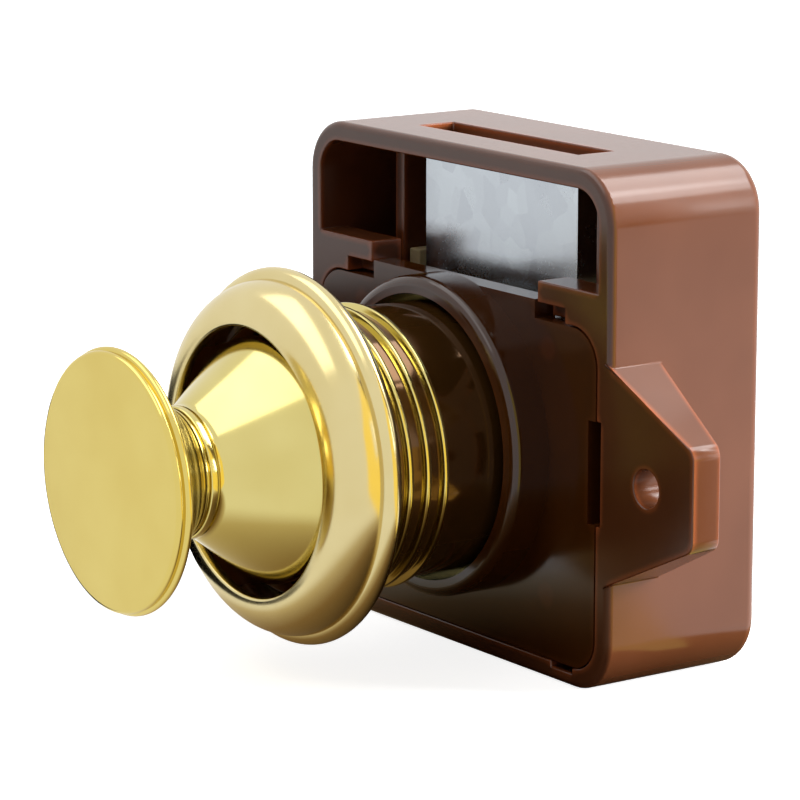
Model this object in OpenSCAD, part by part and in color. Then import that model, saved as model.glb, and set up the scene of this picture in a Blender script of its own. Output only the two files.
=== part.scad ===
// Push button cabinet lock: pushing the knob in drives a steel bolt up through the top wall of the case.
// The origin lies on the knob's axis in the front face of the case.
// -Y points out of the door, +Z along the bolt.
// The lock is drawn open: the knob stands out and the bolt is drawn back into the case.

/* [Case] */
// Width of the case without its ears
case_w = 41; // [39:0.5:46]
// Height of the case
case_h = 41; // [40:0.5:46]
// Depth of the case from its front face to its back face
case_d = 15.2; // [14.6:0.1:18]
// Thickness of the walls of the case
case_wall = 1.6; // [1.4:0.1:1.8]
// Radius of the four corners of the case
case_corner_r = 4.3; // [3:0.1:6]
// Radius of the rounding along the front edge of the case
front_edge_r = 0.6; // [0.4:0.1:1.2]
// Radius of the rounding along the back edge of the case
back_edge_r = 1.2; // [0.5:0.1:2]
// Distance of the knob's axis below the middle of the case
axis_drop = 2.9; // [2.5:0.1:3.8]
// Height of the window above the front plate
window_h = 9.3; // [7.5:0.1:9.4]
// Thickness of the ribs that guide the bolt carrier
rib_t = 1.2; // [0.8:0.1:2]

/* [Ears] */
// Distance of an ear's hole from the side of the case
ear_hole_reach = 4.5; // [4:0.1:7]
// Diameter of the ear holes
ear_hole_d = 3; // [2.5:0.1:4]
// Width of plastic between an ear's hole and its tip
ear_tip_margin = 4.1; // [2.5:0.1:5]
// Height of an ear where it leaves the case
ear_root_h = 17; // [15:0.5:20]
// Height of an ear at its tip
ear_tip_h = 7.6; // [6.5:0.1:9]
// Thickness of an ear where it leaves the case
ear_root_t = 5; // [4:0.1:6]
// Thickness of an ear at its tip
ear_tip_t = 2.6; // [2:0.1:3.5]
// Radius of the two outer corners of an ear
ear_corner_r = 1.2; // [0.5:0.1:2]

/* [Front plate] */
// Thickness of the front plate
plate_t = 2; // [1.6:0.1:2.4]
// Gap between the front plate and the case
plate_fit = 0.1; // [0.05:0.01:0.2]
// Radius of the front plate's upper corners
plate_corner_r = 3; // [2:0.1:4]
// Width of the raised middle of the front plate
ledge_w = 22; // [18:0.5:24]
// Height of the raised middle above the shoulders beside it
ledge_rise = 1.5; // [1:0.1:2]
// Height of the case's tabs above those shoulders
tab_h = 3; // [2.5:0.1:4]
// Depth of the tabs
tab_d = 3; // [2:0.1:3.5]
// Length of the notch under each tab
notch_w = 3.5; // [2.5:0.1:4.5]
// Height of the notch under each tab
notch_h = 1.3; // [0.8:0.1:1.8]
// Depth of the notch under each tab
notch_d = 1.5; // [1:0.1:1.8]
// Width of the clip slot beside each ear, a third of it in the wall of the case
clip_w = 1.5; // [1.2:0.1:1.8]
// Height of the clip slots
clip_h = 8.2; // [6:0.1:9]
// Width of the prying notches at the lower corners of the front plate
pry_w = 2.7; // [2:0.1:3.2]
// Height of the prying notches
pry_h = 0.5; // [0.3:0.1:0.8]
// Distance of the prying notches from the side walls
pry_inset = 2.8; // [2.7:0.1:4]
// Outer radius of the collar round the sleeve
collar_r = 13; // [12.6:0.1:14]
// Height of the collar above the front plate
collar_h = 3.4; // [2:0.1:4]
// Gap between the sleeve and the collar
collar_gap = 0.65; // [0.4:0.05:0.9]
// Radius of the collar's front edge
collar_edge_r = 0.8; // [0.2:0.1:1]

/* [Sleeve] */
// Outer radius of the smooth part of the sleeve
sleeve_r = 10.95; // [10.9:0.05:11.2]
// Outer radius of the thread
thread_r = 11.45; // [11.3:0.05:11.8]
// Radius of the bore that the skirt slides in
sleeve_bore_r = 10.1; // [10.05:0.05:10.2]
// Width of the chamfer at the sleeve's mouth
mouth_chamfer = 0.6; // [0.3:0.1:0.8]
// Width of the relief behind the guide disc
rear_relief = 0.15; // [0.1:0.05:0.2]
// Width of the step that carries the guide disc
disc_step = 0.4; // [0.3:0.05:0.5]
// Thickness of that step
disc_step_t = 0.8; // [0.5:0.1:0.9]
// Distance of the sleeve's outer end from the case's front face
sleeve_reach = 16.6; // [16.2:0.1:17.2]
// Distance of the thread's inner end from the case's front face
thread_start = 8; // [6:0.1:9]
// Width of the flange behind the front plate
flange_w = 29; // [28.4:0.1:31]
// Thickness of the flange
flange_t = 1.2; // [1:0.1:1.3]
// Gap between the flange's upper edge and the level of the plate's shoulders
flange_gap = 0.3; // [0.2:0.1:0.5]
// Distance of the flange's lower edge from the axis
flange_drop = 12.6; // [12:0.1:13]
// Radius of the sleeve screws' shanks
sleeve_screw_r = 0.9; // [0.7:0.05:1]
// Radius of the sleeve screws' heads
sleeve_screw_head_r = 1.4; // [1.2:0.05:1.5]
// Height of the sleeve screws' heads
sleeve_screw_head_t = 0.9; // [0.6:0.1:1]
// Plastic between a sleeve screw's head and the edge of the flange
screw_edge = 0.4; // [0.3:0.05:0.6]
// Clearance of a screw in the pieces it passes
screw_free = 0.1; // [0.05:0.01:0.2]
// Plastic left in front of a sleeve screw's point
screw_cover = 0.4; // [0.3:0.1:0.6]

/* [Guide disc] */
// Thickness of the guide disc
disc_t = 1.8; // [1.4:0.1:2.2]
// Distance of the disc's rear face in front of the case's front face
disc_rear = 1.6; // [1.5:0.05:1.8]
// Running clearance of the stem in the guide disc
stem_clear = 0.08; // [0.05:0.01:0.1]
// Clearance of pieces that are pressed or screwed together
seat_clear = 0.02; // [0.01:0.01:0.03]

/* [Rosette] */
// Outer radius of the rosette
rosette_r = 14.9; // [14.3:0.1:17]
// Distance of the rosette's back from the case's front face
rosette_back = 14.9; // [14.6:0.1:15.4]
// Thickness of the rosette
rosette_t = 4.9; // [4.6:0.1:5.2]
// Radius of the lip that covers the end of the sleeve
lip_r = 10.7; // [10.65:0.05:11]
// Thickness of that lip
lip_t = 0.9; // [0.6:0.1:1.2]
// Thickness of the rosette's rim band
rim_t = 1.7; // [1.3:0.1:2.2]
// Running clearance of the rosette on the thread
thread_clear = 0.06; // [0.03:0.01:0.1]
// Width of the flat crown of the rosette
crown_w = 0.3; // [0.2:0.05:0.6]

/* [Knob] */
// Distance of the knob's face from the case's front face
face_h = 32.1; // [31.4:0.1:32.8]
// Outer radius of the knob's disc
knob_r = 10.35; // [9.75:0.05:10.35]
// Thickness of the knob's cap
cap_t = 1.3; // [1:0.1:1.8]
// Thickness of the round rim behind the knob's face
cap_rim_t = 0.7; // [0.5:0.1:0.9]
// Distance of the face's edge inside that rim
face_inset = 0.25; // [0.15:0.05:0.4]
// Radius of the rounding round the face
face_edge_r = 0.35; // [0.2:0.05:0.4]
// Distance of the head's edge inside the edge of the cap
head_inset = 0.7; // [0.5:0.1:1]
// Radius of the fillets at both ends of the neck
neck_fillet_r = 1; // [0.6:0.1:1.4]
// Radius of the neck
neck_r = 5.1; // [4.6:0.1:5.6]
// Length of the neck ring with the grooves at its ends
neck_ring_t = 1.1; // [1:0.1:1.4]
// Height of the ring above the neck
neck_ring_rise = 0.1; // [0.05:0.05:0.3]
// Width of the two grooves
neck_groove_w = 0.2; // [0.1:0.05:0.25]
// Depth of the two grooves
neck_groove_d = 0.25; // [0.15:0.05:0.4]
// Radius of the ring's edges
neck_ring_edge_r = 0.15; // [0.1:0.05:0.2]
// Length of the knob's head between the neck ring and the cap
head_l = 4.5; // [4:0.1:5]
// Angle between the skirt's cone and the axis
skirt_angle = 36.5; // [35:0.5:38]
// Radius of the foot of the skirt
skirt_r = 9.75; // [9.5:0.05:9.8]
// Length of the skirt's straight foot
foot_l = 3.1; // [2.6:0.1:3.4]
// Radius of the rounding at the foot of the cone
foot_edge_r = 0.8; // [0.5:0.1:1.5]
// Wall of the skirt, measured square to the axis
skirt_wall = 1.4; // [1.2:0.1:1.5]
// Length of the skirt's solid top
skirt_top_t = 3.8; // [3.4:0.1:4.1]
// Radius of the knob screw's shank
knob_screw_r = 1.45; // [1:0.05:1.6]
// Radius of the knob screw's head
knob_screw_head_r = 2.6; // [2.2:0.1:3]
// Height of the knob screw's head
knob_screw_head_t = 1.4; // [1:0.1:1.6]
// Length of the knob screw's shank
knob_screw_l = 12; // [10:0.5:14]
// Depth of the screw's hole beyond its point
screw_hole_end = 0.5; // [0.3:0.1:1]

/* [Plunger] */
// Travel of the knob
knob_travel = 11.5; // [10:0.1:11.7]
// Radius of the stem
stem_r = 4.2; // [4:0.05:4.3]
// Half width of the block at the stem's inner end
block_half_w = 4.3; // [4:0.05:4.4]
// Distance of the block's top above the axis
block_top = 4.2; // [4:0.05:4.3]
// Distance of the block's underside below the axis
block_drop = 4.7; // [4.5:0.1:5]
// Play between the block and the guide disc when the knob stands out
out_play = 0.2; // [0.1:0.05:0.3]
// Radius of the drive pin
pin_r = 0.9; // [0.7:0.05:0.95]
// Distance of the drive pin below the axis
pin_drop = 3; // [2.9:0.1:3.2]
// Length of the drive pin outside each cheek
pin_end = 0.2; // [0.1:0.05:0.3]
// Wall of the block in front of and behind the drive pin
pin_wall = 0.35; // [0.3:0.05:0.4]

/* [Bolt] */
// Width of the bolt
bolt_w = 20.4; // [18:0.1:21]
// Thickness of the bolt
bolt_t = 2.8; // [2.4:0.1:3]
// Distance of the bolt's front face from the case's front face
bolt_y = 4.7; // [4.6:0.05:5]
// Throw of the bolt
bolt_throw = 8; // [6:0.1:8.2]
// Length of the bolt that stands in the slot of the case when it is drawn back
bolt_lead = 0.3; // [0.2:0.1:1]
// Gap between the bolt's edges and its slot
slot_side_gap = 0.45; // [0.3:0.05:0.6]
// Gap between the bolt's faces and its slot
slot_face_gap = 0.3; // [0.2:0.05:0.4]
// Clearance between moving pieces and what they pass
run_gap = 0.4; // [0.3:0.05:0.5]
// Thickness of the carrier's two cheeks
cheek_t = 1.4; // [1.2:0.1:1.4]
// Gap between the plunger's block and the cheeks
cheek_gap = 0.2; // [0.15:0.05:0.3]
// Clearance of the drive pin in its sloping slots
slot_clear = 0.08; // [0.05:0.01:0.1]
// Wall of the cheeks round the sloping slots
slot_wall = 1; // [0.8:0.1:1]
// Height of the bridge that joins the cheeks
bridge_h = 4.5; // [4:0.1:6]
// Gap between the plunger's block and the bolt above it
bolt_lift = 1; // [0.6:0.1:1.2]
// Gap between the bolt's edge and the carrier's lugs
lug_gap = 1; // [0.6:0.1:1.2]
// Thickness of the carrier's lugs
lug_t = 1.4; // [1:0.1:1.6]
// Height of the lugs above the front plate
lug_rise = 0.4; // [0.2:0.05:0.6]
// Radius of the rivets
rivet_r = 1.1; // [0.8:0.05:1.3]
// Radius of the rivet heads
rivet_head_r = 1.8; // [1.5:0.05:2]
// Height of the rivet heads
rivet_head_t = 0.5; // [0.3:0.05:0.55]
// Distance between the rivets
rivet_pitch = 15; // [13:0.5:16]

/* [Catch] */
// Distance of the catch's pivot above the axis
catch_h = 7.9; // [7.7:0.05:8]
// Radius of the catch's pivot pin
catch_pin_r = 0.6; // [0.5:0.05:0.7]
// Running clearance of the catch arm on its pin
catch_clear = 0.06; // [0.03:0.01:0.1]
// Radius of the eye at the top of the catch arm
catch_eye_r = 1.2; // [1.1:0.05:1.25]
// Length of the catch arm from its pivot to its nose
catch_l = 4.9; // [4.8:0.05:4.95]
// Radius of the nose
nose_r = 0.4; // [0.3:0.05:0.45]
// Thickness of the catch arm
catch_t = 1; // [0.8:0.05:1.05]
// Sideways throw of the nose to each side of the axis
nose_throw = 2; // [1.8:0.05:2.1]
// Play of the catch arm along its pin
catch_play = 0.15; // [0.1:0.05:0.2]
// Radius of the pivot pin's head
catch_head_r = 1.1; // [0.9:0.05:1.2]
// Thickness of the pivot pin's head
catch_head_t = 0.4; // [0.3:0.05:0.5]
// Depth of the heart-shaped track in the stem
track_depth = 1.9; // [1.85:0.05:2]
// Clearance of the nose in the track
track_clear = 0.35; // [0.3:0.05:0.4]
// Clearance of the catch arm beside the heart-shaped island
island_clear = 0.26; // [0.2:0.02:0.3]
// Half width of the island's notch, as a share of the half width of the island
heart_share = 0.6; // [0.5:0.05:0.7]

/* [Spring] */
// Diameter of the spring's wire
wire_d = 0.7; // [0.6:0.05:0.75]
// Radius of the spring at the middle of its wire
spring_r = 5.25; // [5.1:0.05:5.4]
// Number of curls
curls = 6.5; // [5:0.5:6.5]
// Thickness of the washer under the skirt
washer_t = 0.5; // [0.4:0.05:0.6]
// Gap round the washer and inside it
washer_gap = 0.15; // [0.1:0.05:0.3]
// Gap between the spring's ends and the pieces they press on
spring_seat = 0.05; // [0.03:0.01:0.1]

/* [Hidden] */

// Overlap that makes cuts and joints clean
eps = 0.01;
// Length by which cuts stand out of a piece
over = 1;
// Facets of round faces and of small round faces
fine = 96;
small = 48;

// Walls of the case
side_x = case_w / 2;
inner_x = side_x - case_wall;
top_z = axis_drop + case_h / 2;
bottom_z = axis_drop - case_h / 2;
inner_top_z = top_z - case_wall;
inner_bottom_z = bottom_z + case_wall;
inner_back_y = case_d - case_wall;
inner_corner_r = case_corner_r - case_wall;

// Ears
ear_hole_x = side_x + ear_hole_reach;
ear_tip_x = ear_hole_x + ear_hole_d / 2 + ear_tip_margin;

// Front plate
plate_x = inner_x - plate_fit;
ledge_z = inner_top_z - window_h;
shoulder_z = ledge_z - ledge_rise;
plate_bottom_z = inner_bottom_z + plate_fit;
tab_gap = 3 * plate_fit;
clip_outer_x = inner_x + clip_w / 3;
collar_bore_r = sleeve_r + collar_gap;

// Sleeve
flange_back_y = plate_t + flange_t;
flange_top = shoulder_z - flange_gap;
flange_corner_r = 2 * sleeve_screw_head_r;
screw_inset = sleeve_screw_head_r + screw_edge;
step_bore_r = sleeve_bore_r - disc_step;
rear_bore_r = sleeve_bore_r + rear_relief;
thread_chamfer = thread_r - sleeve_r;

// Sloping slots: the pin moves along Y, the carrier along Z
pin_y = -disc_rear + out_play + pin_wall + pin_r;
pin_z = -pin_drop;
slope = atan(bolt_throw / knob_travel);
slot_r = pin_r + slot_clear;
cheek_x = block_half_w + cheek_gap;
cheek_front_y = pin_y - slot_r - slot_wall / 4;
cheek_top_z = pin_z + slot_r + slot_wall;
cheek_under = (slot_r + slot_wall) / cos(slope);

// Knob
cap_back_h = face_h - cap_t;
head_h = cap_back_h - head_l;
neck_h = head_h - neck_ring_t;
cone_top_h = neck_h - neck_fillet_r * tan(skirt_angle / 2);
skirt_h = cone_top_h - (skirt_r - neck_r) / tan(skirt_angle);
foot_h = skirt_h - foot_l;
head_r = knob_r - head_inset;
screw_seat_y = knob_screw_head_t - cap_back_h;
screw_point_y = screw_seat_y + knob_screw_l;

// Plunger
stem_front_h = neck_h - skirt_top_t;
block_front_y = -disc_rear + out_play;
block_back_y = pin_y + pin_r + pin_wall;

// Bolt and carrier
bolt_back_y = bolt_y + bolt_t;
bolt_bottom_z = block_top + bolt_lift;
bolt_top_z = inner_top_z + bolt_lead;
carrier_back_y = inner_back_y - run_gap;
bridge_bottom_z = bolt_bottom_z - bolt_lift / 4;
bridge_top_z = bridge_bottom_z + bridge_h;
lug_x = bolt_w / 2 + lug_gap;
lug_top_z = ledge_z + lug_rise;
rivet_z = (bolt_bottom_z + bridge_top_z) / 2;
slot_y = [bolt_y - slot_face_gap, bolt_back_y + slot_face_gap];

// Catch
catch_angle = asin(nose_throw / catch_l);
catch_front_y = -disc_rear + catch_play;
catch_back_y = catch_front_y + catch_t;
track_floor_z = block_top - track_depth;
track_half_w = nose_throw + nose_r + track_clear;
lane_inner_x = (catch_h - block_top) * tan(catch_angle) - nose_r / cos(catch_angle) - island_clear;
basin = catch_t + 2 * track_clear;
track_back_y = catch_back_y + track_clear;
track_front_y = track_back_y - basin - knob_travel;

// Spring, between the guide disc and the washer in the skirt
skirt_bore_r = skirt_r - skirt_wall - (stem_front_h - skirt_h) * tan(skirt_angle);
disc_front_h = disc_rear + disc_t;
washer_h = stem_front_h - washer_t;
washer_r = skirt_bore_r - washer_gap;
spring_h = [disc_front_h + wire_d / 2 + spring_seat, washer_h - wire_d / 2 - spring_seat];
rings_per_curl = 8;
wire_sides = 6;

// Body of revolution about the knob's axis, drawn as radius against distance in front of the case
module turned(n = fine) rotate([90, 0, 0]) rotate_extrude($fn = n) children();

// Round bar along the knob's direction
module bar_y(r, y0, y1, n = small)
    translate([0, y1, 0]) rotate([90, 0, 0]) cylinder(r = r, h = y1 - y0, $fn = n);

// Front outline pushed back from y0 to y1
module along_y(y0, y1) translate([0, y1, 0]) rotate([90, 0, 0]) linear_extrude(y1 - y0) children();

// Side outline, drawn as y against z, pushed from x0 to x1
module along_x(x0, x1) translate([x0, 0, 0]) rotate([90, 0, 90]) linear_extrude(x1 - x0) children();

module both_sides() {
    children();
    mirror([1, 0, 0]) children();
}

// Points of an arc from angle a0 to a1
function arc(c, r, a0, a1, n = 8) = [for (i = [0:n])
    let (a = a0 + (a1 - a0) * i / n) c + r * [cos(a), sin(a)]];

// Angle at which a line from point p touches a circle
function touch(c, r, p) = atan2(p.y - c.y, p.x - c.x) + acos(r / norm(p - c));

// Rectangle between two corners
module box2(a, b) translate(a) square(b - a);

// Rectangle with four round corners
module round_box2(a, b, r) {
    box2([a.x + r, a.y], [b.x - r, b.y]);
    box2([a.x, a.y + r], [b.x, b.y - r]);
    for (x = [a.x + r, b.x - r], y = [a.y + r, b.y - r]) translate([x, y]) circle(r, $fn = small);
}

// Section of the case from its front to its back, with round edges at both
module case_section(low, high) {
    box2([front_edge_r, low], [case_d - back_edge_r, high]);
    box2([0, low + front_edge_r], [case_d - back_edge_r, high - front_edge_r]);
    box2([front_edge_r, low + back_edge_r], [case_d, high - back_edge_r]);
    for (v = [low + back_edge_r, high - back_edge_r]) translate([case_d - back_edge_r, v])
        circle(back_edge_r, $fn = small);
    for (v = [low + front_edge_r, high - front_edge_r]) translate([front_edge_r, v])
        circle(front_edge_r, $fn = small);
}

module case_block() {
    x = side_x - case_corner_r;
    low = bottom_z + case_corner_r;
    high = top_z - case_corner_r;
    along_x(-x, x) case_section(bottom_z, top_z);
    translate([0, 0, low]) linear_extrude(high - low) mirror([1, -1]) case_section(-side_x, side_x);
    for (sx = [-x, x], z = [low, high]) translate([sx, 0, z]) rotate([-90, 0, 0]) rotate_extrude($fn = fine)
        intersection() {
            mirror([1, -1]) case_section(-case_corner_r, case_corner_r);
            box2([0, 0], [case_corner_r, case_d]);
        }
}

module ear() {
    root_x = side_x - case_wall / 2;
    lean = (ear_root_h - ear_tip_h) / 2 / (ear_tip_x - side_x);
    root_half = ear_root_h / 2 + lean * (side_x - root_x);
    turn = 90 - atan(lean);
    c = [ear_tip_x - ear_corner_r, ear_tip_h / 2 + ear_corner_r * (lean - 1 / sin(turn))];
    intersection() {
        along_y(0, ear_root_t + over) polygon(concat(
            [[root_x, -root_half]],
            arc([c.x, -c.y], ear_corner_r, -turn, 0),
            arc(c, ear_corner_r, 0, turn),
            [[root_x, root_half]]));
        translate([0, 0, -ear_root_h]) linear_extrude(2 * ear_root_h) polygon([
            [root_x, 0], [ear_tip_x + over, 0], [ear_tip_x + over, ear_tip_t], [ear_tip_x, ear_tip_t],
            [side_x, ear_root_t], [root_x, ear_root_t]]);
    }
}

// Outline of the front plate: shoulders with round corners and a raised middle
module plate_outline(grow = 0) {
    x = plate_x + grow;
    low_r = inner_corner_r - plate_fit;
    box2([-x + plate_corner_r, 0], [x - plate_corner_r, shoulder_z + grow]);
    box2([-x, 0], [x, shoulder_z + grow - plate_corner_r]);
    for (s = [-1, 1]) translate([s * (x - plate_corner_r), shoulder_z + grow - plate_corner_r])
        circle(plate_corner_r, $fn = small);
    box2([-ledge_w / 2 - grow, 0], [ledge_w / 2 + grow, ledge_z + grow]);
    box2([-x + low_r, plate_bottom_z], [x - low_r, eps]);
    box2([-x, plate_bottom_z + low_r], [x, eps]);
    for (s = [-1, 1]) translate([s * (x - low_r), plate_bottom_z + low_r]) circle(low_r, $fn = small);
}

// Tab of the case over one shoulder of the front plate, with the notch under it
module tab() {
    x = ledge_w / 2 + tab_gap;
    difference() {
        along_y(0, tab_d) difference() {
            box2([x, shoulder_z - plate_corner_r], [inner_x + eps, shoulder_z + tab_h]);
            plate_outline(plate_fit);
        }
        along_y(-over, notch_d) box2([x - eps, shoulder_z], [x + notch_w, shoulder_z + notch_h]);
    }
}

module case() color("saddlebrown") {
    rib_x = lug_x + lug_t + run_gap;
    difference() {
        union() {
            case_block();
            both_sides() ear();
        }
        along_y(-eps, inner_back_y)
            round_box2([-inner_x, inner_bottom_z], [inner_x, inner_top_z], inner_corner_r);
        translate([-bolt_w / 2 - slot_side_gap, slot_y[0], inner_top_z - over])
            cube([bolt_w + 2 * slot_side_gap, slot_y[1] - slot_y[0], case_wall + 2 * over]);
        both_sides() translate([ear_hole_x, 0, 0]) bar_y(ear_hole_d / 2, -over, ear_root_t + over);
        both_sides() translate([inner_x - eps, -eps, -clip_h / 2])
            cube([clip_outer_x - inner_x + eps, tab_d + plate_t, clip_h]);
        both_sides() translate([inner_x - pry_inset - pry_w, -eps, inner_bottom_z - pry_h])
            cube([pry_w, plate_t, pry_h + inner_corner_r]);
    }
    both_sides() tab();
    both_sides() translate([rib_x, slot_y[0], inner_bottom_z - eps])
        cube([rib_t, inner_back_y - slot_y[0] + eps, inner_top_z - inner_bottom_z - run_gap]);
}

module front_plate() color("sienna") difference() {
    union() {
        along_y(0, plate_t) difference() {
            plate_outline();
            both_sides() box2([clip_outer_x - clip_w, -clip_h / 2], [side_x, clip_h / 2]);
        }
        turned() polygon(concat(
            [[collar_bore_r - over, -eps], [collar_r, -eps]],
            arc([collar_r - collar_edge_r, collar_h - collar_edge_r], collar_edge_r, 0, 90),
            [[collar_bore_r - over, collar_h]]));
    }
    bar_y(collar_bore_r, -collar_h - over, plate_t + over, fine);
    at_sleeve_screws() bar_y(sleeve_screw_r + seat_clear, screw_cover, plate_t + over);
}

// Repeats a piece at the four screws of the flange
module at_sleeve_screws() for (x = [-1, 1] * (flange_w / 2 - screw_inset),
    z = [screw_inset - flange_drop, flange_top - screw_inset]) translate([x, 0, z]) children();

module sleeve() color("gold") difference() {
    union() {
        turned() polygon([
            [rear_bore_r, -flange_back_y], [sleeve_r, -flange_back_y],
            [sleeve_r, thread_start - thread_chamfer], [thread_r, thread_start],
            [thread_r, sleeve_reach - thread_chamfer], [sleeve_r, sleeve_reach],
            [sleeve_bore_r + mouth_chamfer, sleeve_reach], [sleeve_bore_r, sleeve_reach - mouth_chamfer],
            [sleeve_bore_r, disc_rear], [step_bore_r, disc_rear], [step_bore_r, disc_rear - disc_step_t],
            [rear_bore_r, disc_rear - disc_step_t]]);
        along_y(plate_t, flange_back_y) difference() {
            round_box2([-flange_w / 2, -flange_drop], [flange_w / 2, flange_top], flange_corner_r);
            circle(sleeve_r - eps, $fn = fine);
        }
    }
    at_sleeve_screws() bar_y(sleeve_screw_r + screw_free, 0, flange_back_y + over);
}

module sleeve_screws() color("silver") at_sleeve_screws() {
    bar_y(sleeve_screw_r, screw_cover + screw_free, flange_back_y + eps);
    bar_y(sleeve_screw_head_r, flange_back_y, flange_back_y + sleeve_screw_head_t);
}

module guide_disc() color("dimgray") difference() {
    bar_y(sleeve_bore_r - seat_clear, -disc_front_h, -disc_rear, fine);
    bar_y(stem_r + stem_clear, -disc_front_h - over, 0, fine);
    translate([0, 0, catch_h]) bar_y(catch_pin_r + seat_clear, -disc_front_h - over, 0);
}

module catch_pivot() color("silver") translate([0, 0, catch_h]) {
    head_y = catch_back_y + catch_play;
    bar_y(catch_pin_r, -disc_front_h, head_y + eps);
    bar_y(catch_head_r, head_y, head_y + catch_head_t);
}

module rosette() color("gold") {
    r = thread_r + thread_clear;
    rim_r = rosette_r - rim_t / 2;
    rim_h = rosette_back + rim_t / 2;
    dome_w = rim_r - lip_r - crown_w;
    dome_h = rosette_t - rim_t;
    lip_h = rosette_back + rosette_t - lip_t;
    turned() polygon(concat(
        [[r, rosette_back]],
        arc([rim_r, rim_h], rim_t / 2, -90, 90, 12),
        [for (a = [0:10:90]) [lip_r + crown_w + dome_w * cos(a), rosette_back + rim_t + dome_h * sin(a)]],
        [[lip_r, lip_h + lip_t], [lip_r, lip_h], [r, lip_h]]));
}

module knob_cap() color("gold") turned() polygon(concat(
    [[0, cap_back_h]],
    arc([knob_r - cap_rim_t / 2, cap_back_h + cap_rim_t / 2], cap_rim_t / 2, -90, 90),
    arc([knob_r - face_inset - face_edge_r, face_h - face_edge_r], face_edge_r, 0, 90),
    [[0, face_h]]));

module knob_head() color("gold") difference() {
    c = [neck_r + neck_fillet_r, head_h];
    edge = [head_r, cap_back_h];
    turned() polygon(concat(
        [[0, head_h]],
        arc(c, neck_fillet_r, 180, touch(c, neck_fillet_r, edge)),
        [edge, [0, cap_back_h]]));
    bar_y(knob_screw_r + screw_free, -face_h, 0);
    bar_y(knob_screw_head_r + screw_free, -face_h, screw_seat_y);
}

module neck_ring() color("goldenrod") difference() {
    r = neck_r + neck_ring_rise - neck_ring_edge_r;
    groove_r = neck_r - neck_groove_d;
    low = neck_h + neck_groove_w;
    high = head_h - neck_groove_w;
    turned() polygon(concat(
        [[0, neck_h], [groove_r, neck_h], [groove_r, low]],
        arc([r, low + neck_ring_edge_r], neck_ring_edge_r, -90, 0),
        arc([r, high - neck_ring_edge_r], neck_ring_edge_r, 0, 90),
        [[groove_r, high], [groove_r, head_h], [0, head_h]]));
    bar_y(knob_screw_r + screw_free, -face_h, 0);
}

module knob_skirt() color("gold") difference() {
    foot_c = [skirt_r - foot_edge_r, skirt_h - foot_edge_r * tan(skirt_angle / 2)];
    turned() polygon(concat(
        [[0, stem_front_h], [skirt_bore_r, stem_front_h], [skirt_r - skirt_wall, skirt_h],
        [skirt_r - skirt_wall, foot_h], [skirt_r, foot_h]],
        arc(foot_c, foot_edge_r, 0, skirt_angle),
        arc([neck_r + neck_fillet_r, neck_h], neck_fillet_r, 180 + skirt_angle, 180),
        [[0, neck_h]]));
    bar_y(knob_screw_r + screw_free, -face_h, 0);
}

module knob_screw() color("silver") {
    bar_y(knob_screw_r, screw_seat_y - eps, screw_point_y);
    bar_y(knob_screw_head_r, -cap_back_h, screw_seat_y);
}

// Heart-shaped track: two lanes with a basin at each end, round a heart-shaped island
module heart_track() translate([0, 0, track_floor_z]) linear_extrude(2 * track_depth) difference() {
    box2([-track_half_w, track_front_y], [track_half_w, track_back_y]);
    polygon([
        [0, track_back_y - basin], [lane_inner_x, track_back_y - basin - 2 * lane_inner_x],
        [lane_inner_x, track_front_y + basin + nose_r], [lane_inner_x * heart_share, track_front_y + basin],
        [0, track_front_y + basin + 2 * nose_r], [-lane_inner_x * heart_share, track_front_y + basin],
        [-lane_inner_x, track_front_y + basin + nose_r],
        [-lane_inner_x, track_back_y - basin - 2 * lane_inner_x]]);
}

module plunger() color("ivory") difference() {
    union() {
        bar_y(stem_r, -stem_front_h, block_front_y + eps, fine);
        translate([-block_half_w, block_front_y, -block_drop])
            cube([2 * block_half_w, block_back_y - block_front_y, block_drop + block_top]);
    }
    heart_track();
    translate([0, pin_y, pin_z]) rotate([0, 90, 0])
        cylinder(r = pin_r + seat_clear, h = 3 * block_half_w, center = true, $fn = small);
    bar_y(knob_screw_r + seat_clear, -face_h, screw_point_y + screw_hole_end);
}

module drive_pin() color("silver") translate([0, pin_y, pin_z]) rotate([0, 90, 0])
    cylinder(r = pin_r, h = 2 * (cheek_x + cheek_t + pin_end), center = true, $fn = small);

module spring_washer() color("silver") difference() {
    bar_y(washer_r, -stem_front_h, -washer_h);
    bar_y(stem_r + washer_gap, -stem_front_h - over, 0);
}

// Points along the middle of the spring's wire
function wire_point(i) = let (n = curls * rings_per_curl, a = 360 * i / rings_per_curl)
    [spring_r * cos(a), -spring_h[0] - (spring_h[1] - spring_h[0]) * i / n, spring_r * sin(a)];
wire_path = [for (i = [0:curls * rings_per_curl]) wire_point(i)];
spring_gap = min([for (i = [0:len(wire_path) - 1], j = [0:len(wire_path) - 1])
    if (j - i > rings_per_curl / 2) norm(wire_path[i] - wire_path[j])]) - wire_d;

module return_spring() color("lightgray") {
    echo(spring_gap_to_itself = spring_gap);
    points = [for (i = [0:len(wire_path) - 1], k = [0:wire_sides - 1])
        let (p = wire_path[i], out = [p.x, 0, p.z] / spring_r, a = 360 * k / wire_sides)
        p + wire_d / 2 * (cos(a) * out + sin(a) * [0, 1, 0])];
    last = (len(wire_path) - 1) * wire_sides;
    polyhedron(points, concat(
        [for (k = [1:wire_sides - 2]) [0, k, k + 1]],
        [for (k = [1:wire_sides - 2]) [last, last + k + 1, last + k]],
        [for (i = [0:len(wire_path) - 2], k = [0:wire_sides - 1])
            let (a = i * wire_sides + k, b = i * wire_sides + (k + 1) % wire_sides) [a, a + wire_sides, b]],
        [for (i = [0:len(wire_path) - 2], k = [0:wire_sides - 1])
            let (a = i * wire_sides + k, b = i * wire_sides + (k + 1) % wire_sides)
            [b, a + wire_sides, b + wire_sides]]));
}

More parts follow.
